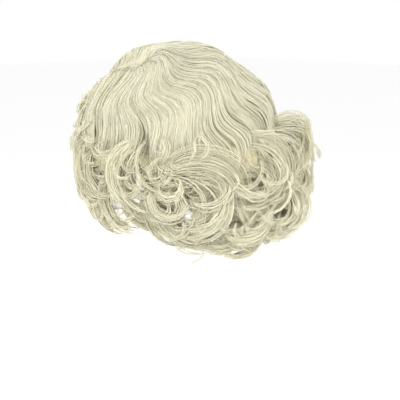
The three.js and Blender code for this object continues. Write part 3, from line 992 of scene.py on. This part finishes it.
SMOOTH_HAIR = HairFinish()
CURLY_HAIR = HairFinish("curly_hair", (0.90, 0.88, 0.71), (0.79, 0.755, 0.54), (0.60, 0.54, 0.32))
# The body of hair under the smooth strands: the same fibre in darker colours, painted shade in the
# hair's depth.
SHADED_HAIR_BODY = HairFinish(
    "shaded_hair_body", (0.66, 0.63, 0.46), (0.59, 0.555, 0.385), (0.47, 0.43, 0.275),
    roughness=0.5, streak=0.45, groove=1.0,
)
# The hair under the curls and the locks' cores: the curls' fibre in darker colours, painted shade
# between and inside the locks.
SHADED_CURL_BODY = HairFinish(
    "shaded_curl_body", (0.60, 0.56, 0.37), (0.48, 0.435, 0.26), (0.34, 0.295, 0.15),
    roughness=0.5, streak=0.4, groove=1.0,
)


@dataclass(frozen=True)
class NetFinish:
    """The cap's fine stretch net: matt beige threads in a small diamond mesh."""

    name: str = "cap_net"
    thread: Colour = (0.60, 0.50, 0.33)
    gap: Colour = (0.34, 0.27, 0.17)
    pitch: float = 2.2 * MM
    slant: float = 0.9  # how far each of the two rows of threads is turned, in radians
    relief: float = 0.3 * MM

    def build(self) -> bpy.types.Material:
        """Returns the material."""
        made, nodes = new_material(self.name)
        place = nodes.out(nodes.add("ShaderNodeTexCoord"), "Object")
        waves = []
        for turn in (self.slant, -self.slant):
            turned = nodes.add("ShaderNodeMapping", {"Vector": place, "Rotation": (turn, turn, turn)})
            wave = nodes.add(
                "ShaderNodeTexWave",
                {"Vector": turned, "Scale": 0.314 / self.pitch, "Distortion": 0.6},
                bands_direction="DIAGONAL",
            )
            waves.append(nodes.out(wave, "Fac"))
        mesh = nodes.math("MAXIMUM", *waves)
        threads = {"Height": mesh, "Strength": 0.6, "Distance": self.relief}
        bump = nodes.add("ShaderNodeBump", threads)
        colour = nodes.ramp(mesh, (0.45, self.gap), (0.75, self.thread))
        nodes.surface(Base_Color=colour, Roughness=0.85, Normal=bump)
        return made


@dataclass
class SmoothHair:
    """The combed and waved hair on one side of the part: a body of hair and the strands over it."""

    node: str
    side: Side
    flow: Flow
    strands: StrandMaker
    wisps: int
    copies: int = 4
    reach: float = 0.095  # length of a wisp
    tuck: float = 0.007  # how far the body of hair runs on under the curls
    overlap: float = 0.038  # how far the strands run on over the curls
    grid: tuple[int, int] = (130, 36)  # points of the body across and along the hair
    body_comb: float = 0.7 * MM
    strand_comb: float = 0.8 * MM
    under_strands: float = 1.6 * MM
    off_cap: float = 0.5 * MM
    end_tuck: float = 0.0095  # how much lower the body's end lies, under the curls
    steps: int = 17
    shortest: float = 0.025
    at_part: float = 0.012  # wisps that start nearer to the part than this start there
    root_sink: tuple[float, float] = (0.5 * MM, 2.6 * MM)  # at the part, and elsewhere
    end_sink: float = 3.4 * MM
    drift: float = 1.2 * MM
    half_width: tuple[float, float] = (1.6, 3.6)  # of a wisp, in millimetres
    half_thickness: float = 0.4 * MM
    seed: int = 11

    def ends(self, label: np.ndarray, extra: float) -> np.ndarray:
        """Returns how far each flow line runs from the part, with an extra past the curls' line.

        Args:
            label: which flow lines.
            extra: how far past the curls' line they run.

        Returns:
            The distance along each.
        """
        distance = np.linspace(0.004, 0.23, 120)
        side = np.full((len(label), len(distance)), self.side.value)
        labels = np.repeat(label[:, None], len(distance), axis=1)
        azimuth, polar = self.flow.trace(side, labels, np.broadcast_to(distance, labels.shape), False)
        limit = self.flow.head.polar_at(self.flow.head.line_drop(CURL_LINE, np.degrees(azimuth)))
        inside = polar < limit
        last = np.where(inside, distance, 0.0).max(axis=1)
        return last + extra

    def body(self, finish: bpy.types.Material) -> bpy.types.Object:
        """Returns the closed body of hair under the strands.

        Args:
            finish: its material.

        Returns:
            The piece.
        """
        flow = self.flow
        length = flow.part()[3]
        quarter = flow.fan * math.pi / 2
        label = np.linspace(-quarter, length + quarter, self.grid[0])
        end = self.ends(label, self.tuck)
        share = np.linspace(0.0, 1.0, self.grid[1]) ** 0.9
        labels = np.repeat(label[:, None], len(share), axis=1)
        distance = end[:, None] * share
        side = np.full(labels.shape, self.side.value)
        azimuth, polar = flow.trace(side, labels, distance)
        tucked = smooth(share, 0.66, 0.96) * self.end_tuck
        depth = flow.depth(azimuth, polar, combed=self.body_comb)
        skin = flow.head.skin
        outer = flow.head.point(azimuth, polar, skin + depth - self.under_strands - tucked)
        inner = flow.head.point(azimuth, polar, np.full(labels.shape, skin + self.off_cap))
        pattern = np.stack([labels / MM, np.full(labels.shape, 7.0), distance / MM], axis=-1)
        piece = mesh_piece(
            self.node + "_body",
            np.concatenate([outer.reshape(-1, 3), inner.reshape(-1, 3)]),
            closed_sheet(*labels.shape),
            np.concatenate([pattern.reshape(-1, 3), pattern.reshape(-1, 3)]),
            finish,
        )
        face_out(piece)
        return piece

    def guides(self) -> Guides:
        """Returns the wisps that the strands follow, evenly spread over this side."""
        flow = self.flow
        head = flow.head
        chance = np.random.default_rng(self.seed)
        made = Guides()
        share = np.linspace(0.0, 1.0, self.steps)
        full = 0.45 + 0.55 * np.sin(np.pi * np.clip(share, 0.08, 0.92))
        fine = np.clip(np.minimum(share * 9 + 0.25, (1 - share) * 6 + 0.2), 0.0, 1.0)
        sides = np.full(self.steps, self.side.value)
        while len(made.wisps) < self.wisps:
            azimuth = chance.uniform(0, 2 * np.pi)
            polar = np.arccos(chance.uniform(-0.25, 1.0))
            drop_polar = head.polar_at(head.line_drop(CURL_LINE, math.degrees(azimuth)))
            side, label, middle = flow.locate(np.array(azimuth), np.array(polar))
            if polar > drop_polar + 0.1 or side != self.side.value:
                continue
            end = float(self.ends(np.array([label]), self.overlap)[0])
            # Strands are thinned in the crease, so that the body's painted shade shows there.
            in_crease = float(flow.crease_at(side, label, np.array(end))) > 0.6 * flow.crease_depth
            if in_crease and middle > 0.05 and chance.uniform(0, 1) < 0.75:
                continue
            reach = self.reach * chance.uniform(0.7, 1.25)
            start = max(0.0015, float(middle) - reach * 0.6)
            stop = min(end * chance.uniform(0.93, 1.0), start + reach)
            if stop - start < self.shortest:
                continue
            distance = np.linspace(start, stop, self.steps)
            drift = chance.normal(0.0, self.drift)
            labels = label + drift * np.sin(share * math.pi * chance.uniform(0.5, 1.5))
            azimuths, polars = flow.trace(sides, labels, distance)
            depth = flow.depth(azimuths, polars, combed=self.strand_comb)
            root_sink = self.root_sink[0 if start < self.at_part else 1]
            sink = root_sink * (1 - smooth(share, 0.0, 0.3))
            sink = sink + self.end_sink * smooth(share, 0.7, 1.0)
            layer = chance.uniform(-1.4, 0.5) * MM
            offset = head.skin + depth + layer - sink
            points = head.point(azimuths, polars, offset)
            along = unit(np.gradient(points, axis=0))
            out = head.axes(azimuths, polars, offset)[2]
            across = unit(np.cross(out, along))
            lift = unit(np.cross(along, across))
            width = chance.uniform(*self.half_width) * MM
            half = across * (width * full)[:, None]
            rise = lift * (self.half_thickness * full)[:, None]
            made.add(points, half, rise, self.copies, fine, 0.7)
        return made

    def build(self, hair: bpy.types.Material, under: bpy.types.Material) -> None:
        """Makes both pieces and puts them in the frame.

        Args:
            hair: the strands' finish.
            under: the material of the body of hair, darker in colour as painted shade.
        """
        dress(self.body(under), self.node)
        piece = self.strands.grow(
            self.guides(), self.node + "_strands", hair,
            Radius=0.3 * MM, Frizz=0.4 * MM, Twist=0.5, Trim=0.25, Seed=self.seed,
        )
        dress(piece, self.node)


class Thin(NamedTuple):
    """A kind of wisp: its share of its lock's section, how many strands it has, and its frizz."""

    spread: float
    copies: int
    loose: float


@dataclass
class CurlGroup:
    """One group of curls: the hair under them, a core in each lock, and their strands."""

    node: str
    flow: Flow
    strands: StrandMaker
    length: float = 0.100
    width: float = 0.030
    thickness: float = 0.016
    stand: float = 0.020
    under_depth: float = 0.015
    hem_depth: float = 0.005
    hem_overhang: float = 0.006
    off_cap: float = 0.5 * MM
    furrow: float = 1.0 * MM
    under_grid: tuple[int, int] = (14, 60)  # points of the hair under the locks, down and round
    core_fill: float = 0.38  # the core's share of its lock's section
    core_sides: int = 10
    gathered: float = 0.6  # how wide a lock is at its root
    pointed: float = 0.25  # and at its tip
    near_rim: float = 0.86  # wisps that leave a lock below this drop stay short
    inside: Thin = Thin(1.0, 45, 1.2)
    peeled: Thin = Thin(0.85, 10, 1.5)
    astray: Thin = Thin(0.8, 9, 1.3)
    hanging: Thin = Thin(0.8, 9, 1.6)
    density: float = 118.0  # strands in a lock of full width
    veil: int = 66  # loose wisps in the group
    root_depth: float = 0.0045  # how deep the strands' first ends lie in the hair
    peeling: float = 9.0  # wisps that leave a lock of full length and width
    step: float = 0.0072  # from one point of a strand to the next
    seed: int = 5

    def paths(self, locks: list[Lock]) -> list[Strip]:
        """Follows locks, all of them at once.

        Args:
            locks: the locks to follow.

        Returns:
            For each its points, the ways across it and up from it, its half width and half
            thickness, the share of its length and its course at each point.
        """
        head = self.flow.head
        small_steps = 24
        if not locks:
            return []
        table = {name: np.array([getattr(lock, name) for lock in locks]) for name in Lock._fields}
        azimuth = np.radians(table["azimuth"])
        polar = head.polar_at(table["drop"] * head.cap_drop)
        stride = table["length"] * self.length / small_steps
        rows = []
        for k in range(small_steps + 1):
            share = k / small_steps
            stand = table["root"] + table["lift"] * math.sin(math.pi * share)
            stand = stand + (table["tip"] - table["root"]) * share
            offset = head.skin + stand * self.stand
            round_crown, down, out = head.axes(azimuth, polar, offset)
            heading = np.radians(table["lean"] + table["turn"] * share ** table["grip"])
            course = np.stack([azimuth, polar, heading, stand], axis=-1)
            rows.append(np.concatenate([head.point(azimuth, polar, offset), out, course], axis=-1))
            azimuth = azimuth + np.sin(heading) * stride / np.linalg.norm(round_crown, axis=-1)
            polar = polar + np.cos(heading) * stride / np.linalg.norm(down, axis=-1)
        known = np.linspace(0, 1, small_steps + 1)
        table_of_rows = np.array(rows)
        return [
            self.section(lock, known, table_of_rows[:, index]) for index, lock in enumerate(locks)
        ]

    def section(self, lock: Lock, known: np.ndarray, rows: np.ndarray) -> Strip:
        """Returns one lock's path with its sections, in steps of the strands' own length.

        Args:
            lock: the lock.
            known: the shares of its length at which the rows lie.
            rows: its points, the ways out of the head and its course.

        Returns:
            The strip, by name.
        """
        steps = max(6, round(lock.length * self.length / self.step))
        share = np.linspace(0, 1, steps + 1)
        dense = np.stack([np.interp(share, known, column) for column in rows.T], axis=-1)
        point, out = dense[:, :3], dense[:, 3:6]
        along = unit(np.gradient(point, axis=0))
        across = unit(np.cross(out, along))
        from_root = self.gathered + (1 - self.gathered) * smooth(share, 0, 0.3)
        full = from_root * (1 - (1 - self.pointed) * smooth(share, 0.55, 1) ** 1.2) / 2
        return {
            "point": point,
            "across": across,
            "up": unit(np.cross(along, across)),
            "width": lock.width * self.width * full,
            "thick": lock.thick * self.thickness * full,
            "share": share,
            "course": dense[:, 6:],
        }

    def core(self, path: Strip) -> Solid:
        """Lofts the solid middle of a lock.

        Args:
            path: the lock as paths() gives it.

        Returns:
            Its points, its faces and its pattern.
        """
        around = self.core_sides
        angle = 2 * np.pi * np.arange(around) / around
        rows = len(path["share"])
        cos, sin = np.cos(angle)[None, :, None], np.sin(angle)[None, :, None]
        taper = (self.core_fill * (1 - 0.8 * smooth(path["share"], 0.6, 1.0)))[:, None, None]
        rooted = self.root_depth * (0.7 + 1.3 * (1 - smooth(path["share"], 0, 0.4)))
        points = (
            (path["point"] - path["up"] * rooted[:, None])[:, None, :]
            + path["across"][:, None, :] * cos * path["width"][:, None, None] * taper
            + path["up"][:, None, :] * sin * path["thick"][:, None, None] * taper
        )
        run = path["share"] * 100.0
        half = path["width"].max() / MM
        pattern = np.stack(
            [
                np.broadcast_to(np.cos(angle) * half, (rows, around)),
                np.broadcast_to(np.sin(angle) * half, (rows, around)),
                np.broadcast_to(run[:, None], (rows, around)),
            ],
            axis=-1,
        )
        faces: Faces = []
        for row in range(rows - 1):
            for k in range(around):
                a, b = row * around + k, row * around + (k + 1) % around
                faces.append((a, b, b + around, a + around))
        faces.append(tuple(range(around - 1, -1, -1)))
        faces.append(tuple((rows - 1) * around + k for k in range(around)))
        return points.reshape(-1, 3), faces, pattern.reshape(-1, 3)

    def under(self) -> Solid:
        """Returns the points, faces and pattern of the hair under the locks."""
        head = self.flow.head
        band = UNDER_HAIR[self.node]
        rows, columns = self.under_grid
        degrees = np.linspace(band.start, band.end, columns)
        share = np.linspace(0, 1, rows)
        hem = self.hem_overhang if band.bottom is RIM else 0.0
        high = head.line_drop(band.top, degrees)
        low = head.line_drop(band.bottom, degrees) + hem
        drops = high + (low - high) * share[:, None]
        azimuth = np.broadcast_to(np.radians(degrees), drops.shape)
        polar = head.polar_at(drops)
        at_top = np.full(columns, band.depth * self.under_depth)
        if band.top is CURL_LINE:
            at_top = self.flow.depth(np.radians(degrees), head.polar_at(high))
        bulge = band.depth * self.under_depth * np.sin(np.pi * share)[:, None] * 0.5
        depth = at_top + (self.hem_depth - at_top) * share[:, None] + bulge
        furrow = np.sin(degrees * 1.9 + 2.0 * np.sin(degrees * 0.31)) * self.furrow
        sunk = 2.2 * MM + 4.0 * MM * (1 - smooth(share, 0.0, 0.3))[:, None]
        outer = head.point(azimuth, polar, head.skin + depth - sunk + furrow)
        inner = head.point(azimuth, polar, np.full(drops.shape, head.skin + self.off_cap))
        pattern = np.stack([azimuth * 90.0, np.zeros(drops.shape), drops / MM], axis=-1)
        points = np.concatenate([outer.reshape(-1, 3), inner.reshape(-1, 3)])
        pattern = pattern.reshape(-1, 3)
        return points, closed_sheet(rows, columns), np.concatenate([pattern, pattern])

    def wisps(
        self, lock: Lock, path: Strip, made: Guides, chance: np.random.Generator
    ) -> None:
        """Adds the wisps that lie side by side in a lock to the guides.

        Args:
            lock: the lock.
            path: the lock as paths() gives it.
            made: the guides that the wisps are added to.
            chance: the group's random numbers.
        """
        count = round(4 + 4 * lock.width)
        copies = max(5, round(self.density * 0.7 * (0.3 + 0.7 * lock.width) / count))
        share = path["share"]
        for k in range(count):
            across = 1.5 * (k + chance.uniform(0.2, 0.8)) / count - 0.75
            round_off = math.sqrt(max(0.0, 1.0 - across * across))
            above = chance.uniform(-0.25, 0.75) * round_off
            across = across + chance.uniform(-0.45, 0.45) * share**1.5
            above = above + chance.uniform(-0.5, 0.8) * share**2
            last = max(6, round(len(share) * chance.uniform(0.8, 1.0)))
            points = (
                path["point"]
                + path["across"] * (across * path["width"])[:, None]
                + path["up"] * (above * path["thick"])[:, None]
            )
            kind = Thin(chance.uniform(0.22, 0.38), copies, 1.0)
            self.add_wisp(made, path, points, last, kind)

    def add_wisp(
        self, made: Guides, path: Strip, points: np.ndarray, last: int, kind: Thin
    ) -> None:
        """Adds one wisp that follows a path.

        Args:
            made: the guides that the wisp is added to.
            path: the path as paths() gives it.
            points: the wisp's own middle.
            last: how many of the points it has.
            kind: its thickness, strands and frizz.
        """
        share = path["share"]
        fine = np.clip(np.minimum(share * 8 + 0.3, (1 - share) * 4 + 0.2), 0, 1)
        rooted = self.root_depth * (1 - smooth(share, 0, 0.22))
        points = points - path["up"] * rooted[:, None]
        across = path["across"] * path["width"][:, None] * kind.spread
        up = path["up"] * path["thick"][:, None] * kind.spread * 1.2
        made.add(points[:last], across[:last], up[:last], kind.copies, fine[:last], kind.loose)

    def leaving(self, lock: Lock, path: Strip, chance: np.random.Generator) -> list[Lock]:
        """Returns small wisps that leave a lock's outside and curl over it.

        Args:
            lock: the lock that they leave.
            path: the lock as paths() gives it.
            chance: the group's random numbers.

        Returns:
            The wisps, as small locks.
        """
        head = self.flow.head
        made = []
        for _ in range(round(self.peeling * lock.length * (0.5 + 0.5 * lock.width))):
            at = int(chance.uniform(0.02, 0.75) * (len(path["share"]) - 1))
            azimuth, polar, heading, stand = path["course"][at]
            rise = head.nape_drop if math.cos(polar) < 0 else head.crown_rise
            drop = (head.crown_rise - math.cos(polar) * rise) / head.cap_drop
            half = float(path["thick"][at]) / self.stand
            aside = chance.normal(0, 0.45) * float(path["width"][at]) / head.half_width
            same = 1.0 if chance.uniform(0, 1) > 0.08 else -1.0
            root = stand + half * chance.uniform(0.1, 1.0)
            inward = chance.uniform(0, 1) < 0.3
            tip = root * chance.uniform(0.3, 0.7) if inward else root + chance.uniform(-0.35, 0.3)
            low = drop > self.near_rim
            made.append(
                Lock(
                    math.degrees(azimuth + aside * math.cos(heading)), drop,
                    math.degrees(heading) + chance.normal(0, 10),
                    chance.uniform(0.28, 0.45 if low else 0.6),
                    same * math.copysign(chance.uniform(130 if low else 60, 220), lock.turn),
                    chance.uniform(0.9, 1.3), root, chance.uniform(-0.05, 0.25), tip,
                    chance.uniform(0.16, 0.36), chance.uniform(0.12, 0.3),
                )
            )
        return made

    def strayed(self, chance: np.random.Generator) -> list[Lock]:
        """Returns thinner locks that turn a little otherwise than the locks that they leave.

        Args:
            chance: the group's random numbers.

        Returns:
            The locks.
        """
        made = []
        for lock in LOCKS[self.node]:
            for _ in range(3):
                made.append(
                    lock._replace(
                        azimuth=lock.azimuth + chance.normal(0, 2.5),
                        drop=lock.drop + chance.normal(0, 0.02),
                        lean=lock.lean + chance.normal(0, 12),
                        length=lock.length * chance.uniform(0.7, 1.05),
                        turn=lock.turn * chance.uniform(0.8, 1.35),
                        root=lock.root + chance.uniform(-0.1, 0.25),
                        lift=lock.lift * chance.uniform(0.7, 1.3),
                        tip=lock.tip + chance.uniform(-0.2, 0.3),
                        width=lock.width * chance.uniform(0.3, 0.5),
                        thick=lock.thick * 0.45,
                    )
                )
        return made

    def loose_locks(self, chance: np.random.Generator) -> list[Lock]:
        """Returns short loose curls all over the group, which hang over the rim at the bottom.

        Args:
            chance: the group's random numbers.

        Returns:
            The curls, as small locks.
        """
        head = self.flow.head
        band = UNDER_HAIR[self.node]
        made = []
        for k in range(self.veil):
            azimuth = band.start + (band.end - band.start) * (k + chance.uniform(0, 1)) / self.veil
            high = float(head.line_drop(band.top, azimuth)) / head.cap_drop
            low = float(head.line_drop(band.bottom, azimuth)) / head.cap_drop
            share = 1.0 - chance.uniform(0, 1) ** 0.9
            swing = 1.0 if chance.uniform(0, 1) > 0.5 else -1.0
            made.append(
                Lock(
                    azimuth, high + (low - high) * (1.08 * share - 0.1), chance.normal(0, 28),
                    chance.uniform(0.36, 0.56), swing * chance.uniform(120, 250),
                    chance.uniform(0.9, 1.2), 0.25 + 0.45 * band.depth * (1 - share),
                    chance.uniform(0.1, 0.5), chance.uniform(0.3, 0.9),
                    chance.uniform(0.22, 0.45), chance.uniform(0.2, 0.4),
                )
            )
        return made

    def build(self, hair: bpy.types.Material, under: bpy.types.Material) -> None:
        """Makes the group's pieces and puts them in the frame.

        Args:
            hair: the strands' finish.
            under: the material of the hair under them and of the cores, darker in colour as painted
                shade.
        """
        chance = np.random.default_rng(self.seed)
        parts = [self.under()]
        guides = Guides()
        locks = list(LOCKS[self.node])
        small: list[Lock] = []
        for lock, path in zip(locks, self.paths(locks)):
            # Each core is a dark solid in painted shade, inside its lock.
            parts.append(self.core(path))
            self.wisps(lock, path, guides, chance)
            small += self.leaving(lock, path, chance)
        layers = (
            (list(INSIDE_LOCKS.get(self.node, ())), self.inside),
            (small, self.peeled),
            (self.strayed(chance), self.astray),
            (self.loose_locks(chance), self.hanging),
        )
        for thin_locks, kind in layers:
            for path in self.paths(thin_locks):
                self.add_wisp(guides, path, path["point"], len(path["share"]), kind)
        points = np.concatenate([part[0] for part in parts])
        starts = np.cumsum([0] + [len(part[0]) for part in parts])
        faces = [
            tuple(int(start) + k for k in face)
            for start, part in zip(starts, parts)
            for face in part[1]
        ]
        pattern = np.concatenate([part[2] for part in parts])
        body = mesh_piece(self.node + "_body", points, faces, pattern, under)
        face_out(body)
        dress(body, self.node)
        piece = self.strands.grow(
            guides, self.node + "_strands", hair,
            Radius=0.245 * MM, Frizz=0.8 * MM, Twist=0.9, Trim=0.2, Seed=self.seed,
        )
        dress(piece, self.node)


def dress(piece: bpy.types.Object, node: str) -> None:
    """Puts a piece of hair in place of its CAD node and reports it.

    Args:
        piece: the piece.
        node: the node that it stands for.
    """
    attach(piece, "root")
    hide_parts(node)
    triangles = sum(len(face.vertices) - 2 for face in piece.data.polygons)
    log.info("%s: %d triangles", piece.name, triangles)


class Lamp(NamedTuple):
    """A soft square lamp: its place round the wig in degrees, its distance, its side, its watts."""

    name: str
    azimuth: float
    elevation: float
    reach: float
    size: float
    power: float


@dataclass
class Studio:
    """A pale floor, soft light from all round, and the camera at the photograph's angle."""

    azimuth: float = 135.0
    elevation: float = 8.0
    distance: float = 1.6
    width: float = 0.400
    aim_right: float = 0.023
    aim_up: float = -0.146
    floor_drop: float = 0.42
    half_floor: float = 6.0
    paper: Colour = (0.97, 0.97, 0.97)
    daylight: float = 1.0
    lamp_aim: float = -0.1
    lamps: tuple[Lamp, ...] = (
        Lamp("key_lamp", 145.0, 42.0, 1.6, 0.7, 11.0),
        Lamp("fill_lamp", 80.0, 12.0, 1.8, 1.2, 9.0),
        Lamp("right_lamp", 205.0, 5.0, 1.8, 1.2, 8.0),
        Lamp("front_lamp", 350.0, 20.0, 1.8, 1.2, 6.0),
    )

    @staticmethod
    def towards(azimuth: float, elevation: float) -> Vector:
        """Returns the way from the wig to a place round it, its angles in degrees."""
        turn, tilt = math.radians(azimuth), math.radians(elevation)
        flat = math.cos(tilt)
        return Vector((math.sin(turn) * flat, -math.cos(turn) * flat, math.sin(tilt)))

    def way(self) -> tuple[Vector, Vector, Vector]:
        """Returns the ways back to the camera, to the right and up in its picture."""
        back = self.towards(self.azimuth, self.elevation)
        turn = math.radians(self.azimuth)
        right = Vector((math.cos(turn), math.sin(turn), 0.0))
        return back, right, back.cross(right)

    def camera(self) -> None:
        """Makes the camera."""
        back, right, up = self.way()
        target = right * self.aim_right + up * self.aim_up
        data = bpy.data.cameras.new("photo_camera")
        data.lens = data.sensor_width * self.distance / self.width
        data.clip_end = 20.0
        camera = add_object("photo_camera", data)
        self.stand(camera, target, back, self.distance)
        bpy.context.scene.camera = camera

    @staticmethod
    def stand(thing: bpy.types.Object, target: Vector, back: Vector, reach: float) -> None:
        """Stands a lamp or a camera at a distance from what it faces, the way back from it given."""
        thing.location = target + back * reach
        thing.rotation_mode = "QUATERNION"
        thing.rotation_quaternion = (-back).to_track_quat("-Z", "Y")

    def light(self, lamp: Lamp) -> None:
        """Adds a lamp that faces the wig.

        Args:
            lamp: its place, size and power.
        """
        data = bpy.data.lights.new(lamp.name, "AREA")
        data.shape = "SQUARE"
        data.size = lamp.size
        data.energy = lamp.power
        back = self.towards(lamp.azimuth, lamp.elevation)
        self.stand(add_object(lamp.name, data), Vector((0, 0, self.lamp_aim)), back, lamp.reach)

    def floor(self) -> None:
        """Makes the pale floor."""
        made = bpy.data.meshes.new("floor")
        corners = ((-1, -1), (1, -1), (1, 1), (-1, 1))
        half = self.half_floor
        points = [(x * half, y * half, -self.floor_drop) for x, y in corners]
        made.from_pydata(points, [], [(0, 1, 2, 3)])
        finish, nodes = new_material("white_paper")
        nodes.surface(Base_Color=(*self.paper, 1.0), Roughness=0.8)
        made.materials.append(finish)
        floor = add_object("floor", made)

    def build(self) -> None:
        """Makes the floor, the lamps, the pale surroundings and the camera."""
        scene = bpy.context.scene
        world = bpy.data.worlds.new("white_room")
        world.use_nodes = True
        nodes = Nodes(world.node_tree)
        sky = nodes.add(
            "ShaderNodeBackground", {"Color": (1.0, 1.0, 1.0, 1.0), "Strength": self.daylight}
        )
        nodes.add("ShaderNodeOutputWorld", {"Surface": sky})
        scene.world = world
        scene.view_settings.view_transform = "Standard"
        scene.view_settings.look = "None"
        self.floor()
        for lamp in self.lamps:
            self.light(lamp)
        self.camera()


def main() -> None:
    """Builds the wig and the studio in order."""
    logging.basicConfig(level=logging.INFO, format="%(name)s: %(message)s")
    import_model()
    Studio().build()
    streaks = FibreStreaks()
    hair = SMOOTH_HAIR.build(streaks)
    curly = CURLY_HAIR.build(streaks)
    # The bodies under the strands and the curls' cores take darker colours: painted shade.
    under = SHADED_HAIR_BODY.build(streaks)
    shaded = SHADED_CURL_BODY.build(streaks)
    cap = bpy.data.objects["cap"]
    cap.data.materials.clear()
    cap.data.materials.append(NetFinish().build())
    flow = Flow(Head())
    strands = StrandMaker()
    SmoothHair("left_waves", Side.LEFT, flow, strands, wisps=385, seed=21).build(hair, under)
    SmoothHair("crown_sweep", Side.RIGHT, flow, strands, wisps=455, seed=34).build(hair, under)
    for count, node in enumerate(LOCKS):
        CurlGroup(node, flow, strands, seed=50 + count).build(curly, shaded)


if __name__ == "__main__":
    main()
